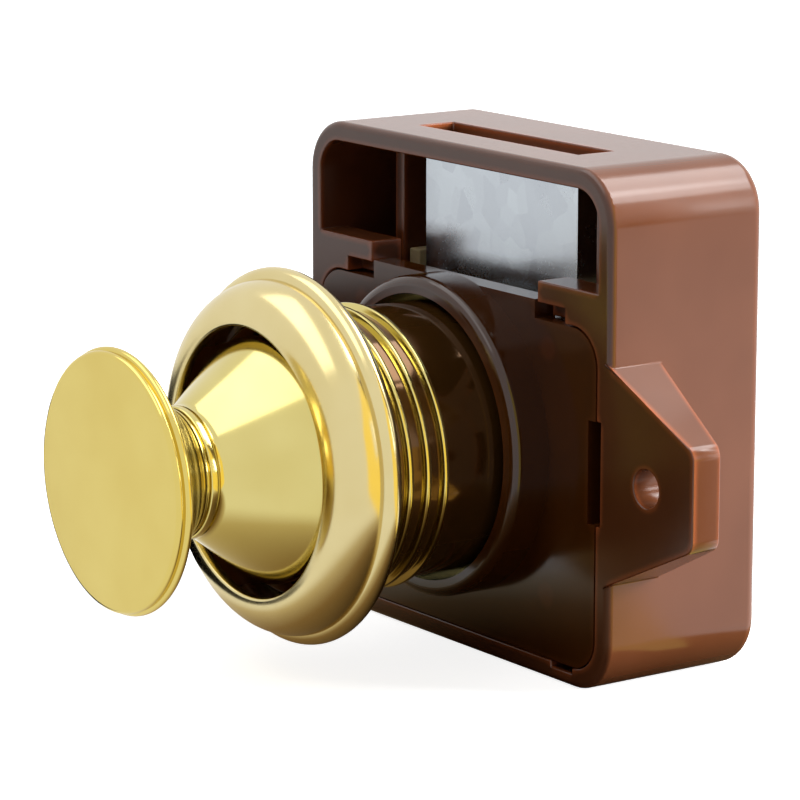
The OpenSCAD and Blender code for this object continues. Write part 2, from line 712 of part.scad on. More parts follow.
// Repeats a piece at the two rivets of the bolt
module at_rivets() for (x = [-1, 1] * rivet_pitch / 2) translate([x, 0, rivet_z]) children();

module latch_bolt() color("lightsteelblue") difference() {
    translate([-bolt_w / 2, bolt_y, bolt_bottom_z]) cube([bolt_w, bolt_t, bolt_top_z - bolt_bottom_z]);
    at_rivets() bar_y(rivet_r + seat_clear, 0, case_d);
}

// Sloping slot of the carrier, as long as the knob's travel
module drive_slot() translate([0, pin_y, pin_z]) rotate([-slope, 0, 0]) {
    run = norm([knob_travel, bolt_throw]);
    for (y = [0, run]) translate([0, y, 0]) rotate([0, 90, 0])
        cylinder(r = slot_r, h = 4 * cheek_x, center = true, $fn = small);
    translate([-2 * cheek_x, 0, -slot_r]) cube([4 * cheek_x, run, 2 * slot_r]);
}

module bolt_carrier() color("wheat") difference() {
    union() {
        both_sides() along_x(cheek_x, cheek_x + cheek_t) polygon([
            [cheek_front_y, cheek_top_z], [bolt_back_y, cheek_top_z], [bolt_back_y, bridge_top_z],
            [carrier_back_y, bridge_top_z],
            [carrier_back_y, pin_z - (carrier_back_y - pin_y) * tan(slope) - cheek_under],
            [cheek_front_y, pin_z - (cheek_front_y - pin_y) * tan(slope) - cheek_under]]);
        translate([-lug_x - lug_t, bolt_back_y, bridge_bottom_z])
            cube([2 * (lug_x + lug_t), carrier_back_y - bolt_back_y, bridge_h]);
        both_sides() translate([lug_x, bolt_y, bridge_bottom_z])
            cube([lug_t, carrier_back_y - bolt_y, lug_top_z - bridge_bottom_z]);
    }
    drive_slot();
    at_rivets() bar_y(rivet_r + seat_clear, 0, case_d);
}

module carrier_rivets() color("silver") at_rivets() {
    bar_y(rivet_r, bolt_y - eps, carrier_back_y);
    bar_y(rivet_head_r, bolt_y - rivet_head_t, bolt_y);
}

// Arm at rest, with its nose in the lane on the +X side
module catch_arm() color("gray") translate([0, 0, catch_h]) rotate([0, -catch_angle, 0]) difference() {
    union() {
        bar_y(catch_eye_r, catch_front_y, catch_back_y);
        translate([-nose_r, catch_front_y, -catch_l]) cube([2 * nose_r, catch_t, catch_l]);
        translate([0, 0, -catch_l]) bar_y(nose_r, catch_front_y, catch_back_y);
    }
    bar_y(catch_pin_r + catch_clear, -case_d, case_d);
}

case();
front_plate();
sleeve();
sleeve_screws();
guide_disc();
catch_pivot();
rosette();
knob_cap();
knob_head();
neck_ring();
knob_skirt();
knob_screw();
plunger();
drive_pin();
spring_washer();
return_spring();
latch_bolt();
bolt_carrier();
carrier_rivets();
catch_arm();
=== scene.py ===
"""Push button cabinet lock: finishes, turned gold pieces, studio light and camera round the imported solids."""

import math

import bpy
from mathutils import Matrix, Vector


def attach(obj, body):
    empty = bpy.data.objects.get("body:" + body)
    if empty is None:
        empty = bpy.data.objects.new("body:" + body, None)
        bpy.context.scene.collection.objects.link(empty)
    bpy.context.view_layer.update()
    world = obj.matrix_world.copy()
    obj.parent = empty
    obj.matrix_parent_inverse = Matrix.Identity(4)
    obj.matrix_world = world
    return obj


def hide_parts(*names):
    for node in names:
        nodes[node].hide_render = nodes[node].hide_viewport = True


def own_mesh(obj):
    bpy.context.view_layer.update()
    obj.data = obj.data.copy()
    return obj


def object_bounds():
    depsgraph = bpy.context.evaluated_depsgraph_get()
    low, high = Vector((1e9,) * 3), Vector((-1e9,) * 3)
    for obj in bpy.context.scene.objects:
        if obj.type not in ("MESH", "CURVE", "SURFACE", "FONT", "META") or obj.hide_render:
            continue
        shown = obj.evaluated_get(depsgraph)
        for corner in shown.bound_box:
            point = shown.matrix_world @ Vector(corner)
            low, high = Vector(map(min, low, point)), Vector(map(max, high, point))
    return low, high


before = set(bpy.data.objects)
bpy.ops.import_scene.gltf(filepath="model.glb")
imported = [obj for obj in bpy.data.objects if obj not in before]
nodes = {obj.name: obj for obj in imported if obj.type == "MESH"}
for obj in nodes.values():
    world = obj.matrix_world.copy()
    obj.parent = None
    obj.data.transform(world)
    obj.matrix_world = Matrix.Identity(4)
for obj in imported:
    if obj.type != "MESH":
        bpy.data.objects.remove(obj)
cad_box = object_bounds()
floor_z = cad_box[0][2]

MM = 0.001

# Sizes of the pieces are in millimetres. Their heights lie along the knob's axis, outwards from the front
# face of the case.

# Knob cap
CAP_R = 10.35
CAP_RIM_T = 0.7
CAP_BACK_H = 30.8
FACE_H = 32.1
FACE_INSET = 0.25
FACE_EDGE_R = 0.35

# Knob head and neck ring
HEAD_R = 9.65
NECK_R = 5.1
NECK_H = 25.2
NECK_FILLET_R = 1.0
NECK_RING_T = 1.1
NECK_RING_RISE = 0.1
NECK_RING_EDGE_R = 0.15
NECK_GROOVE_W = 0.2
NECK_GROOVE_D = 0.25
HEAD_H = NECK_H + NECK_RING_T

# Bores for the screw through head, neck ring and skirt
SCREW_BORE_R = 1.55
SCREW_HEAD_BORE_R = 2.7
SCREW_HEAD_T = 1.4

# Knob skirt
SKIRT_R = 9.75
SKIRT_ANGLE = math.radians(36.5)
SKIRT_WALL = 1.4
SKIRT_TOP_T = 3.8
FOOT_L = 3.1
FOOT_EDGE_R = 0.8
FOOT_LIP_R = 0.3

# Rosette
ROSETTE_R = 14.9
ROSETTE_T = 4.9
ROSETTE_BACK_H = 14.9
ROSETTE_BORE_R = 11.51
RIM_T = 1.7
CROWN_W = 0.3
LIP_R = 10.7
LIP_T = 0.9
LIP_FRONT_R = 0.2
LIP_BACK_R = 0.1

# Sleeve, with a step in its bore
SLEEVE_R = 10.95
SLEEVE_BORE_R = 10.1
SLEEVE_END_H = 16.6
SLEEVE_CHAMFER = 0.6
SLEEVE_EDGE_R = 0.2
REAR_BORE_R = 10.25
STEP_BORE_R = 9.7
STEP_H = (0.8, 1.6)

# Sleeve's flange, which laps into the tube's wall
FLANGE_H = (-3.2, -2.0)
FLANGE_X = 14.5
FLANGE_Z = (-12.6, 10.7)
FLANGE_CORNER_R = 2.8
FLANGE_LAP = 0.1
FLANGE_SCREW_INSET = 1.8
FLANGE_SCREW_R = 1.0

# Sleeve's thread. It starts on the left, and over a share of its length at each end it eases into a thin tip.
THREAD_PITCH = 1.66
THREAD_H = (7.82, 16.15)
THREAD_START = math.pi
THREAD_EASE = 0.06
THREAD_TIP = 0.1
# Half of its section, from its sunken foot to its crest: height over the sleeve, and half the width there
THREAD_FLANK = [(-0.1, 0.42), (0.0, 0.36), (0.08, 0.32), (0.38, 0.24), (0.46, 0.2), (0.5, 0.12)]

# Return spring
WIRE_R = 0.35
SPRING_R = 5.25
SPRING_CURLS = 6.5
SPRING_H = (3.8, 20.5)

# Fineness of the meshes: points round a circle or along an arc, and the angle from which an edge is sharp
AROUND = 192
ARC_STEPS = 12
CORNER_STEPS = 6
RIM_STEPS = 24
DOME_STEPS = 30
FLANGE_BORE_POINTS = 144
SCREW_HOLE_POINTS = 48
SPRING_AROUND = 64
WIRE_SIDES = 14
SHARP_ANGLE = math.radians(32)
# Room for rounding errors, in millimetres
SLACK = 0.01

# Sizes and depths of the patterns in the finishes, in millimetres
ABS_FLOW_MM = 9.0
ABS_RIPPLE_MM = 7.0
ABS_RIPPLE_DEPTH_MM = 0.4
ABS_GRAIN_MM = 0.6
# Reach of the painted glow on thin edges of the ABS, which stands in for light shining through them
ABS_PAINTED_GLOW_REACH_MM = 0.8
GOLD_TARNISH_MM = 6.0
GOLD_RIPPLE_MM = 3.5
GOLD_RIPPLE_DEPTH_MM = 0.25
GOLD_HAZE_MM = 0.8
ZINC_CRYSTAL_MM = 1.8
ZINC_GRIT_MM = 0.25
ZINC_GRIT_DEPTH_MM = 0.05
# Real drawing lines are finer: these are as coarse as they need to be to show
STEEL_LINE_MM = 0.15
STEEL_LINE_STRETCH = 0.08
ACETAL_CLOUD_MM = 5.0
ACETAL_GRAIN_MM = 0.4
ACETAL_GRAIN_DEPTH_MM = 0.04
ACETAL_GLOW_MM = (1.0, 0.7, 0.4)

# Openness towards the inside at which the painted glow on an edge of the ABS starts, and at which it is
# strongest: a warm orange painted where light would shine through thin plastic
ABS_PAINTED_GLOW_OPENNESS = (0.86, 0.5)
ABS_PAINTED_GLOW_COLOUR = "#c9693a"
ABS_IOR = 1.53
ACETAL_IOR = 1.48


def linear(hex_colour):
    """Linear RGBA of an sRGB hex colour."""
    channels = [int(hex_colour[i:i + 2], 16) / 255 for i in (1, 3, 5)]
    return [c / 12.92 if c <= 0.04045 else ((c + 0.055) / 1.055) ** 2.4 for c in channels] + [1.0]


def scale_of(size_mm):
    """Scale of a pattern whose marks are about size_mm across."""
    return 1 / (size_mm * MM)


def add(tree, kind, inputs=None, stops=(), **settings):
    """Adds a node: settings are its properties, inputs its socket values or the sockets that feed it,
    and stops the positions and hex colours along a colour ramp."""
    node = tree.nodes.new(kind)
    for name, value in settings.items():
        setattr(node, name, value)
    for socket, value in (inputs or {}).items():
        if isinstance(value, bpy.types.NodeSocket):
            tree.links.new(value, node.inputs[socket])
        else:
            node.inputs[socket].default_value = value
    if stops:
        points = node.color_ramp.elements
        while len(points) < len(stops):
            points.new(0.5)
        for point, (position, colour) in zip(points, stops):
            point.position = position
            point.color = linear(colour)
    return node


def new_material(name):
    """A material and its node tree, still empty."""
    material = bpy.data.materials.new(name)
    material.use_nodes = True
    material.node_tree.nodes.clear()
    return material, material.node_tree


def brown_abs(name, deep, warm, glow, roughness):
    """ABS, injection moulded in a polished tool: a glossy skin that ripples slightly where it shrank,
    and thin edges painted warm orange, a painted glow for the light that would shine through them."""
    material, tree = new_material(name)
    where = add(tree, "ShaderNodeTexCoord").outputs["Object"]
    flow = add(tree, "ShaderNodeTexNoise", {"Vector": where, "Scale": scale_of(ABS_FLOW_MM)})
    body = add(tree, "ShaderNodeValToRGB", {"Fac": flow.outputs["Fac"]}, stops=[(0.3, deep), (0.7, warm)])
    # Painted glow: thin edges, found by how open they are towards the inside, get an orange colour in place of
    # the light that would shine through them
    openness_for_painted_glow = add(tree, "ShaderNodeAmbientOcclusion", {"Distance": ABS_PAINTED_GLOW_REACH_MM * MM},
                  samples=8, inside=True, only_local=True)
    edge = add(tree, "ShaderNodeMapRange", {
        "Value": openness_for_painted_glow.outputs["AO"],
        "From Min": ABS_PAINTED_GLOW_OPENNESS[0],
        "From Max": ABS_PAINTED_GLOW_OPENNESS[1],
        "To Max": glow})
    colour = add(tree, "ShaderNodeMix", {
        "Factor": edge.outputs["Result"],
        "A": body.outputs["Color"],
        "B": linear(ABS_PAINTED_GLOW_COLOUR)}, data_type="RGBA")
    grain = add(tree, "ShaderNodeTexNoise", {"Vector": where, "Scale": scale_of(ABS_GRAIN_MM)})
    dullness = add(tree, "ShaderNodeMapRange", {
        "Value": grain.outputs["Fac"], "To Min": roughness[0], "To Max": roughness[1]})
    ripple = add(tree, "ShaderNodeTexNoise", {
        "Vector": where, "Scale": scale_of(ABS_RIPPLE_MM), "Detail": 1.0})
    skin = add(tree, "ShaderNodeBump", {
        "Strength": 0.04, "Distance": ABS_RIPPLE_DEPTH_MM * MM, "Height": ripple.outputs["Fac"]})
    surface = add(tree, "ShaderNodeBsdfPrincipled", {
        "Base Color": colour.outputs["Result"],
        "Roughness": dullness.outputs["Result"],
        "IOR": ABS_IOR,
        "Normal": skin.outputs["Normal"]})
    add(tree, "ShaderNodeOutputMaterial", {"Surface": surface.outputs["BSDF"]})
    return material


def gold_plate(name, pale, deep, roughness, cover=1.0):
    """Gold-coloured electroplate on moulded ABS: a soft mirror that keeps the faint ripple of the plastic
    under it, and lets the brown through where it doesn't cover."""
    material, tree = new_material(name)
    where = add(tree, "ShaderNodeTexCoord").outputs["Object"]
    tarnish = add(tree, "ShaderNodeTexNoise", {"Vector": where, "Scale": scale_of(GOLD_TARNISH_MM)})
    colour = add(tree, "ShaderNodeValToRGB", {"Fac": tarnish.outputs["Fac"]},
                 stops=[(0.25, deep), (0.75, pale)])
    haze = add(tree, "ShaderNodeTexNoise", {"Vector": where, "Scale": scale_of(GOLD_HAZE_MM)})
    dullness = add(tree, "ShaderNodeMapRange", {
        "Value": haze.outputs["Fac"], "To Min": roughness[0], "To Max": roughness[1]})
    ripple = add(tree, "ShaderNodeTexNoise", {
        "Vector": where, "Scale": scale_of(GOLD_RIPPLE_MM), "Detail": 1.0})
    skin = add(tree, "ShaderNodeBump", {
        "Strength": 0.02, "Distance": GOLD_RIPPLE_DEPTH_MM * MM, "Height": ripple.outputs["Fac"]})
    surface = add(tree, "ShaderNodeBsdfPrincipled", {
        "Base Color": colour.outputs["Color"],
        "Metallic": cover,
        "Roughness": dullness.outputs["Result"],
        "Normal": skin.outputs["Normal"]})
    add(tree, "ShaderNodeOutputMaterial", {"Surface": surface.outputs["BSDF"]})
    return material


def galvanised_steel(name, light, dark, roughness):
    """Hot dip galvanised sheet: zinc crystals about 2 mm across, each with its own grey and dullness."""
    material, tree = new_material(name)
    where = add(tree, "ShaderNodeTexCoord").outputs["Object"]
    crystals = add(tree, "ShaderNodeTexVoronoi", {"Vector": where, "Scale": scale_of(ZINC_CRYSTAL_MM)})
    tone = add(tree, "ShaderNodeSeparateColor", {"Color": crystals.outputs["Color"]})
    colour = add(tree, "ShaderNodeValToRGB", {"Fac": tone.outputs["Red"]}, stops=[(0.0, dark), (1.0, light)])
    grit = add(tree, "ShaderNodeTexNoise", {"Vector": where, "Scale": scale_of(ZINC_GRIT_MM), "Detail": 4.0})
    bloom = add(tree, "ShaderNodeMath", {0: tone.outputs["Green"], 1: grit.outputs["Fac"]},
                operation="MULTIPLY")
    dullness = add(tree, "ShaderNodeMapRange", {
        "Value": bloom.outputs["Value"], "To Min": roughness[0], "To Max": roughness[1]})
    skin = add(tree, "ShaderNodeBump", {
        "Strength": 0.06, "Distance": ZINC_GRIT_DEPTH_MM * MM, "Height": grit.outputs["Fac"]})
    surface = add(tree, "ShaderNodeBsdfPrincipled", {
        "Base Color": colour.outputs["Color"],
        "Metallic": 1.0,
        "Roughness": dullness.outputs["Result"],
        "Normal": skin.outputs["Normal"]})
    add(tree, "ShaderNodeOutputMaterial", {"Surface": surface.outputs["BSDF"]})
    return material


def bright_steel(name, light, dark, roughness):
    """Steel, drawn or zinc plated: grey metal with fine lines along the knob's axis and a dull bloom."""
    material, tree = new_material(name)
    where = add(tree, "ShaderNodeTexCoord").outputs["Object"]
    stretched = add(tree, "ShaderNodeMapping", {"Vector": where, "Scale": (1.0, STEEL_LINE_STRETCH, 1.0)})
    lines = add(tree, "ShaderNodeTexNoise", {
        "Vector": stretched.outputs["Vector"], "Scale": scale_of(STEEL_LINE_MM), "Detail": 3.0})
    colour = add(tree, "ShaderNodeValToRGB", {"Fac": lines.outputs["Fac"]}, stops=[(0.3, dark), (0.7, light)])
    dullness = add(tree, "ShaderNodeMapRange", {
        "Value": lines.outputs["Fac"], "To Min": roughness[0], "To Max": roughness[1]})
    surface = add(tree, "ShaderNodeBsdfPrincipled", {
        "Base Color": colour.outputs["Color"],
        "Metallic": 1.0,
        "Roughness": dullness.outputs["Result"]})
    add(tree, "ShaderNodeOutputMaterial", {"Surface": surface.outputs["BSDF"]})
    return material


def acetal(name, light, dark, glow, roughness):
    """Acetal, injection moulded: a waxy, half matt plastic that lets a little light in."""
    material, tree = new_material(name)
    where = add(tree, "ShaderNodeTexCoord").outputs["Object"]
    cloud = add(tree, "ShaderNodeTexNoise", {"Vector": where, "Scale": scale_of(ACETAL_CLOUD_MM)})
    colour = add(tree, "ShaderNodeValToRGB", {"Fac": cloud.outputs["Fac"]}, stops=[(0.3, dark), (0.7, light)])
    grain = add(tree, "ShaderNodeTexNoise", {"Vector": where, "Scale": scale_of(ACETAL_GRAIN_MM)})
    dullness = add(tree, "ShaderNodeMapRange", {
        "Value": grain.outputs["Fac"], "To Min": roughness[0], "To Max": roughness[1]})
    skin = add(tree, "ShaderNodeBump", {
        "Strength": 0.05, "Distance": ACETAL_GRAIN_DEPTH_MM * MM, "Height": grain.outputs["Fac"]})
    surface = add(tree, "ShaderNodeBsdfPrincipled", {
        "Base Color": colour.outputs["Color"],
        "Roughness": dullness.outputs["Result"],
        "IOR": ACETAL_IOR,
        "Subsurface Weight": glow,
        "Subsurface Radius": [reach * MM for reach in ACETAL_GLOW_MM],
        "Normal": skin.outputs["Normal"]})
    add(tree, "ShaderNodeOutputMaterial", {"Surface": surface.outputs["BSDF"]})
    return material


# glow is the strength of the painted glow on the thin edges of the ABS
CASE_ABS = brown_abs("moulded_brown_abs", "#63361d", "#6d3e25", glow=0.65, roughness=(0.16, 0.22))
PLATE_ABS = brown_abs("moulded_brown_abs_plate", "#4c2606", "#562d0a", glow=0.08, roughness=(0.10, 0.17))
GOLD = gold_plate("gold_plated_abs", "#dccd86", "#d3c278", roughness=(0.10, 0.16))
# Darker, half metallic gold on the sleeve's tube: partly a thinner plate, partly painted shade for the dark
# surroundings that the tube mirrors
DEEP_GOLD = gold_plate("thin_gold_plate_and_painted_shade", "#6e4a20", "#60401a", roughness=(0.06, 0.11), cover=0.5)
PALE_GOLD = gold_plate("pale_gold_plated_abs", "#e0d09c", "#d8c68c", roughness=(0.15, 0.22))
FACE_GOLD = gold_plate("satin_gold_plated_abs", "#dec973", "#d8c169", roughness=(0.10, 0.15))
GALVANISED = galvanised_steel("galvanised_sheet_steel", "#c9d0d6", "#c0c6cd", roughness=(0.24, 0.30))
ZINC = bright_steel("zinc_plated_steel", "#c9ccd0", "#a9adb2", roughness=(0.25, 0.4))
SPRING_STEEL = bright_steel("drawn_spring_steel", "#b0b2b4", "#8d9093", roughness=(0.22, 0.34))
NATURAL_ACETAL = acetal("moulded_natural_acetal", "#e3cfa4", "#d2bb8c", glow=0.25, roughness=(0.34, 0.48))
BLACK_ACETAL = acetal("moulded_black_acetal", "#1b1a19", "#141313", glow=0.0, roughness=(0.34, 0.48))


def round_corners(points, steps=CORNER_STEPS):
    """Closed outline whose points are (r, h) or (r, h, radius): a corner with a radius becomes an arc."""
    outline = []
    for i, point in enumerate(points):
        corner = Vector(point[:2])
        if len(point) < 3:
            outline.append(corner)
            continue
        back = (Vector(points[i - 1][:2]) - corner).normalized()
        ahead = (Vector(points[(i + 1) % len(points)][:2]) - corner).normalized()
        half = back.angle(ahead) / 2
        reach = point[2] / math.tan(half)
        centre = corner + (back + ahead).normalized() * (point[2] / math.sin(half))
        start = corner + back * reach - centre
        turn = start.angle_signed(corner + ahead * reach - centre)
        for k in range(steps + 1):
            outline.append(centre + Matrix.Rotation(-turn * k / steps, 2) @ start)
    return outline


def arc(centre, radius, first, last, steps=ARC_STEPS):
    """Points of an arc from one angle to another, in degrees."""
    angles = [math.radians(first + (last - first) * k / steps) for k in range(steps + 1)]
    return [(centre[0] + radius * math.cos(a), centre[1] + radius * math.sin(a)) for a in angles]


def circle(centre, radius, points):
    """Points of a whole circle."""
    return arc(centre, radius, 0, 360 - 360 / points, points - 1)


def to_object(name, vertices, faces, material):
    """An object of a mesh in metres, smooth but for its sharp edges."""
    mesh = bpy.data.meshes.new(name)
    mesh.from_pydata(vertices, [], faces)
    mesh.validate()
    mesh.shade_smooth()
    mesh.set_sharp_from_angle(angle=SHARP_ANGLE)
    mesh.materials.append(material)
    piece = bpy.data.objects.new(name, mesh)
    bpy.context.scene.collection.objects.link(piece)
    return piece


def turned_mesh(outline):
    """Vertices and faces of an outline of (radius, height) in millimetres turned about the knob's axis."""
    vertices, rings, faces = [], [], []
    for r, h in outline:
        count = AROUND if r > 0 else 1
        rings.append([len(vertices) + k for k in range(count)])
        for k in range(count):
            a = 2 * math.pi * k / AROUND
            vertices.append((r * math.cos(a) * MM, -h * MM, r * math.sin(a) * MM))
    for one, two in zip(rings, rings[1:] + rings[:1]):
        for k in range(AROUND):
            quad = [one[k % len(one)], one[(k + 1) % len(one)], two[(k + 1) % len(two)], two[k % len(two)]]
            corners = list(dict.fromkeys(quad))
            if len(corners) > 2:
                faces.append(corners)
    return vertices, faces


def turned(name, outline, material):
    """An object turned about the knob's axis."""
    return to_object(name, *turned_mesh(outline), material)


def joined(*meshes):
    """Several meshes as one list of vertices and one of faces."""
    vertices, faces = [], []
    for some_vertices, some_faces in meshes:
        start = len(vertices)
        vertices += some_vertices
        faces += [[i + start for i in face] for face in some_faces]
    return vertices, faces


def coil(radius, heights, turns, section, start=0.0, ease=0.0, around=AROUND):
    """A closed section of (outwards, along) points carried up a right-handed screw line about the knob's
    axis. Over the share ease of its length at each end it grows from a thin tip to its full section."""
    vertices, faces = [], []
    steps, n = round(turns * around), len(section)
    for i in range(steps + 1):
        share = i / steps
        grown = max(THREAD_TIP, min(1.0, share / ease, (1 - share) / ease)) if ease else 1.0
        h = heights[0] + (heights[1] - heights[0]) * share
        a = start + 2 * math.pi * turns * share
        for out, along in section:
            r = radius + out * grown
            vertices.append((r * math.cos(a) * MM, -(h + along * grown) * MM, r * math.sin(a) * MM))
    for i in range(steps):
        for k in range(n):
            one, two = i * n + k, i * n + (k + 1) % n
            faces.append([one, one + n, two + n, two])
    faces += [list(range(n)), [steps * n + k for k in reversed(range(n))]]
    return vertices, faces


def plate(outline, holes, heights):
    """Vertices and faces of a flat plate with holes, square to the knob's axis, from outlines of (x, z)."""
    data = bpy.data.curves.new("plate", "CURVE")
    data.dimensions = "2D"
    data.fill_mode = "BOTH"
    data.extrude = (heights[1] - heights[0]) / 2 * MM
    for points in [outline] + holes:
        spline = data.splines.new("POLY")
        spline.points.add(len(points) - 1)
        spline.use_cyclic_u = True
        for point, (x, z) in zip(spline.points, points):
            point.co = (x * MM, z * MM, 0, 1)
    drawn = bpy.data.objects.new("plate", data)
    mesh = drawn.to_mesh()
    middle = -sum(heights) / 2 * MM
    vertices = [(v.co.x, middle - v.co.z, v.co.y) for v in mesh.vertices]
    faces = [list(face.vertices) for face in mesh.polygons]
    drawn.to_mesh_clear()
    bpy.data.objects.remove(drawn)
    bpy.data.curves.remove(data)
    return vertices, faces


def knob_cap():
    """Front disc of the knob: a round rim, and a flat face with a rounded edge that stands out of it."""
    rim_r = CAP_RIM_T / 2
    rim = (CAP_R - rim_r, CAP_BACK_H + rim_r)
    face_edge = (CAP_R - FACE_INSET - FACE_EDGE_R, FACE_H - FACE_EDGE_R)
    cap = turned("knob_cap_turned", (
        [(0, CAP_BACK_H)]
        + arc(rim, rim_r, -90, 90)
        + arc(face_edge, FACE_EDGE_R, 0, 90)
        + [(0, FACE_H)]), FACE_GOLD)
    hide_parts("knob_cap")
    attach(cap, "knob")


def knob_head():
    """Cone behind the disc, which runs into the neck in a fillet, with a seat for the screw's head."""
    fillet = Vector((NECK_R + NECK_FILLET_R, HEAD_H))
    edge = Vector((HEAD_R, CAP_BACK_H))
    touch = math.degrees(math.atan2(edge.y - fillet.y, edge.x - fillet.x)
                         + math.acos(NECK_FILLET_R / (edge - fillet).length))
    seat_h = CAP_BACK_H - SCREW_HEAD_T
    head = turned("knob_head_turned", (
        [(SCREW_BORE_R, HEAD_H)]
        + arc(fillet, NECK_FILLET_R, 180, touch)
        + [(HEAD_R, CAP_BACK_H), (SCREW_HEAD_BORE_R, CAP_BACK_H), (SCREW_HEAD_BORE_R, seat_h),
           (SCREW_BORE_R, seat_h)]), GOLD)
    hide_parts("knob_head")
    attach(head, "knob")


def neck_ring():
    """Thin ring at the neck, set off by a groove on each side."""
    groove_r, ring_r = NECK_R - NECK_GROOVE_D, NECK_R + NECK_RING_RISE
    low, high = NECK_H + NECK_GROOVE_W, HEAD_H - NECK_GROOVE_W
    ring = turned("neck_ring_turned", round_corners([
        (SCREW_BORE_R, NECK_H), (groove_r, NECK_H), (groove_r, low),
        (ring_r, low, NECK_RING_EDGE_R), (ring_r, high, NECK_RING_EDGE_R),
        (groove_r, high), (groove_r, HEAD_H), (SCREW_BORE_R, HEAD_H)]), GOLD)
    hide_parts("neck_ring")
    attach(ring, "knob")


def knob_skirt():
    """Hollow cone below the neck, with a straight foot that dives into the sleeve."""
    slope = math.tan(SKIRT_ANGLE)
    top_h = NECK_H - NECK_FILLET_R * math.tan(SKIRT_ANGLE / 2)
    cone_foot_h = top_h - (SKIRT_R - NECK_R) / slope
    foot_h = cone_foot_h - FOOT_L
    inner_foot_r = SKIRT_R - SKIRT_WALL
    inner_h = NECK_H - SKIRT_TOP_T
    inner_r = inner_foot_r - (inner_h - cone_foot_h) * slope
    fillet = (NECK_R + NECK_FILLET_R, NECK_H)
    foot_edge = (SKIRT_R - FOOT_EDGE_R, cone_foot_h - FOOT_EDGE_R * math.tan(SKIRT_ANGLE / 2))
    turn = math.degrees(SKIRT_ANGLE)
    skirt = turned("knob_skirt_turned", round_corners(
        [(SCREW_BORE_R, inner_h), (inner_r, inner_h), (inner_foot_r, cone_foot_h),
         (inner_foot_r, foot_h, FOOT_LIP_R), (SKIRT_R, foot_h, FOOT_LIP_R)]
        + arc(foot_edge, FOOT_EDGE_R, 0, turn)
        + arc(fillet, NECK_FILLET_R, 180 + turn, 180)
        + [(SCREW_BORE_R, NECK_H)]), GOLD)
    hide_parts("knob_skirt")
    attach(skirt, "knob")


def bare_bore(piece, radius, height):
    """Leaves the inside of a plated piece in bare plastic, within a radius and up to a height: the dark plate
    brown, which also stands in for shade deep in the bore.
    """
    piece.data.materials.append(PLATE_ABS)
    for face in piece.data.polygons:
        at = face.center / MM
        if math.hypot(at.x, at.z) < radius and -at.y < height:
            face.material_index = 1


def rosette_piece():
    """Ring nut on the sleeve: a round rim, a dome that rises from it and a lip over the end of the sleeve."""
    rim = (ROSETTE_R - RIM_T / 2, ROSETTE_BACK_H + RIM_T / 2)
    front_h = ROSETTE_BACK_H + ROSETTE_T
    lip_back_h = front_h - LIP_T
    crown_r = LIP_R + CROWN_W
    dome_w = rim[0] - crown_r
    dome_h = ROSETTE_T - RIM_T
    quarter = [math.radians(90 * k / DOME_STEPS) for k in range(1, DOME_STEPS + 1)]
    dome = [(crown_r + dome_w * math.cos(a), front_h - dome_h * (1 - math.sin(a))) for a in quarter]
    rosette = turned("rosette_turned", round_corners(
        [(ROSETTE_BORE_R, ROSETTE_BACK_H)]
        + arc(rim, RIM_T / 2, -90, 90, RIM_STEPS)
        + dome
        + [(LIP_R, front_h, LIP_FRONT_R), (LIP_R, lip_back_h, LIP_BACK_R),
           (ROSETTE_BORE_R, lip_back_h)]), PALE_GOLD)
    bare_bore(rosette, ROSETTE_BORE_R + SLACK, lip_back_h + SLACK)
    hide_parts("rosette")
    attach(rosette, "rosette")


def tube_mesh():
    """The sleeve's tube, with a step in its bore and a chamfer inside its end."""
    return turned_mesh(round_corners([
        (REAR_BORE_R, FLANGE_H[0]), (SLEEVE_R, FLANGE_H[0]), (SLEEVE_R, SLEEVE_END_H, SLEEVE_EDGE_R),
        (SLEEVE_BORE_R + SLEEVE_CHAMFER, SLEEVE_END_H), (SLEEVE_BORE_R, SLEEVE_END_H - SLEEVE_CHAMFER),
        (SLEEVE_BORE_R, STEP_H[1]), (STEP_BORE_R, STEP_H[1]), (STEP_BORE_R, STEP_H[0]),
        (REAR_BORE_R, STEP_H[0])]))


def thread_mesh():
    """The sleeve's coarse rounded thread."""
    section = [(out, -along) for out, along in THREAD_FLANK] + THREAD_FLANK[::-1]
    turns = (THREAD_H[1] - THREAD_H[0]) / THREAD_PITCH
    return coil(SLEEVE_R, THREAD_H, turns, section, start=THREAD_START, ease=THREAD_EASE)


def flange_mesh():
    """The sleeve's flange behind the front plate, with round corners and four screw holes."""
    low, high = FLANGE_Z
    corners = [(-FLANGE_X, low), (FLANGE_X, low), (FLANGE_X, high), (-FLANGE_X, high)]
    outline = round_corners([(x, z, FLANGE_CORNER_R) for x, z in corners], ARC_STEPS)
    screw_x = FLANGE_X - FLANGE_SCREW_INSET
    screws = [(x, z) for x in (-screw_x, screw_x)
              for z in (low + FLANGE_SCREW_INSET, high - FLANGE_SCREW_INSET)]
    bore = circle((0, 0), SLEEVE_R - FLANGE_LAP, FLANGE_BORE_POINTS)
    return plate(outline, [bore] + [circle(at, FLANGE_SCREW_R, SCREW_HOLE_POINTS) for at in screws], FLANGE_H)


def sleeve_piece():
    """Sleeve: a tube in darker gold, partly a thinner plate and partly painted shade, a fully plated thread and
    flange, and a bore in bare plastic that also stands in for shade.
    """
    tube = tube_mesh()
    sleeve = to_object("sleeve_turned", *joined(tube, thread_mesh(), flange_mesh()), GOLD)
    bare_bore(sleeve, SLEEVE_BORE_R + SLEEVE_CHAMFER, SLEEVE_END_H + SLACK)
    # The tube's outside gets the darker gold, partly painted shade
    sleeve.data.materials.append(DEEP_GOLD)
    for face in sleeve.data.polygons[:len(tube[1])]:
        if face.material_index == 0:
            face.material_index = 2
    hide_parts("sleeve")
    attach(sleeve, "case")


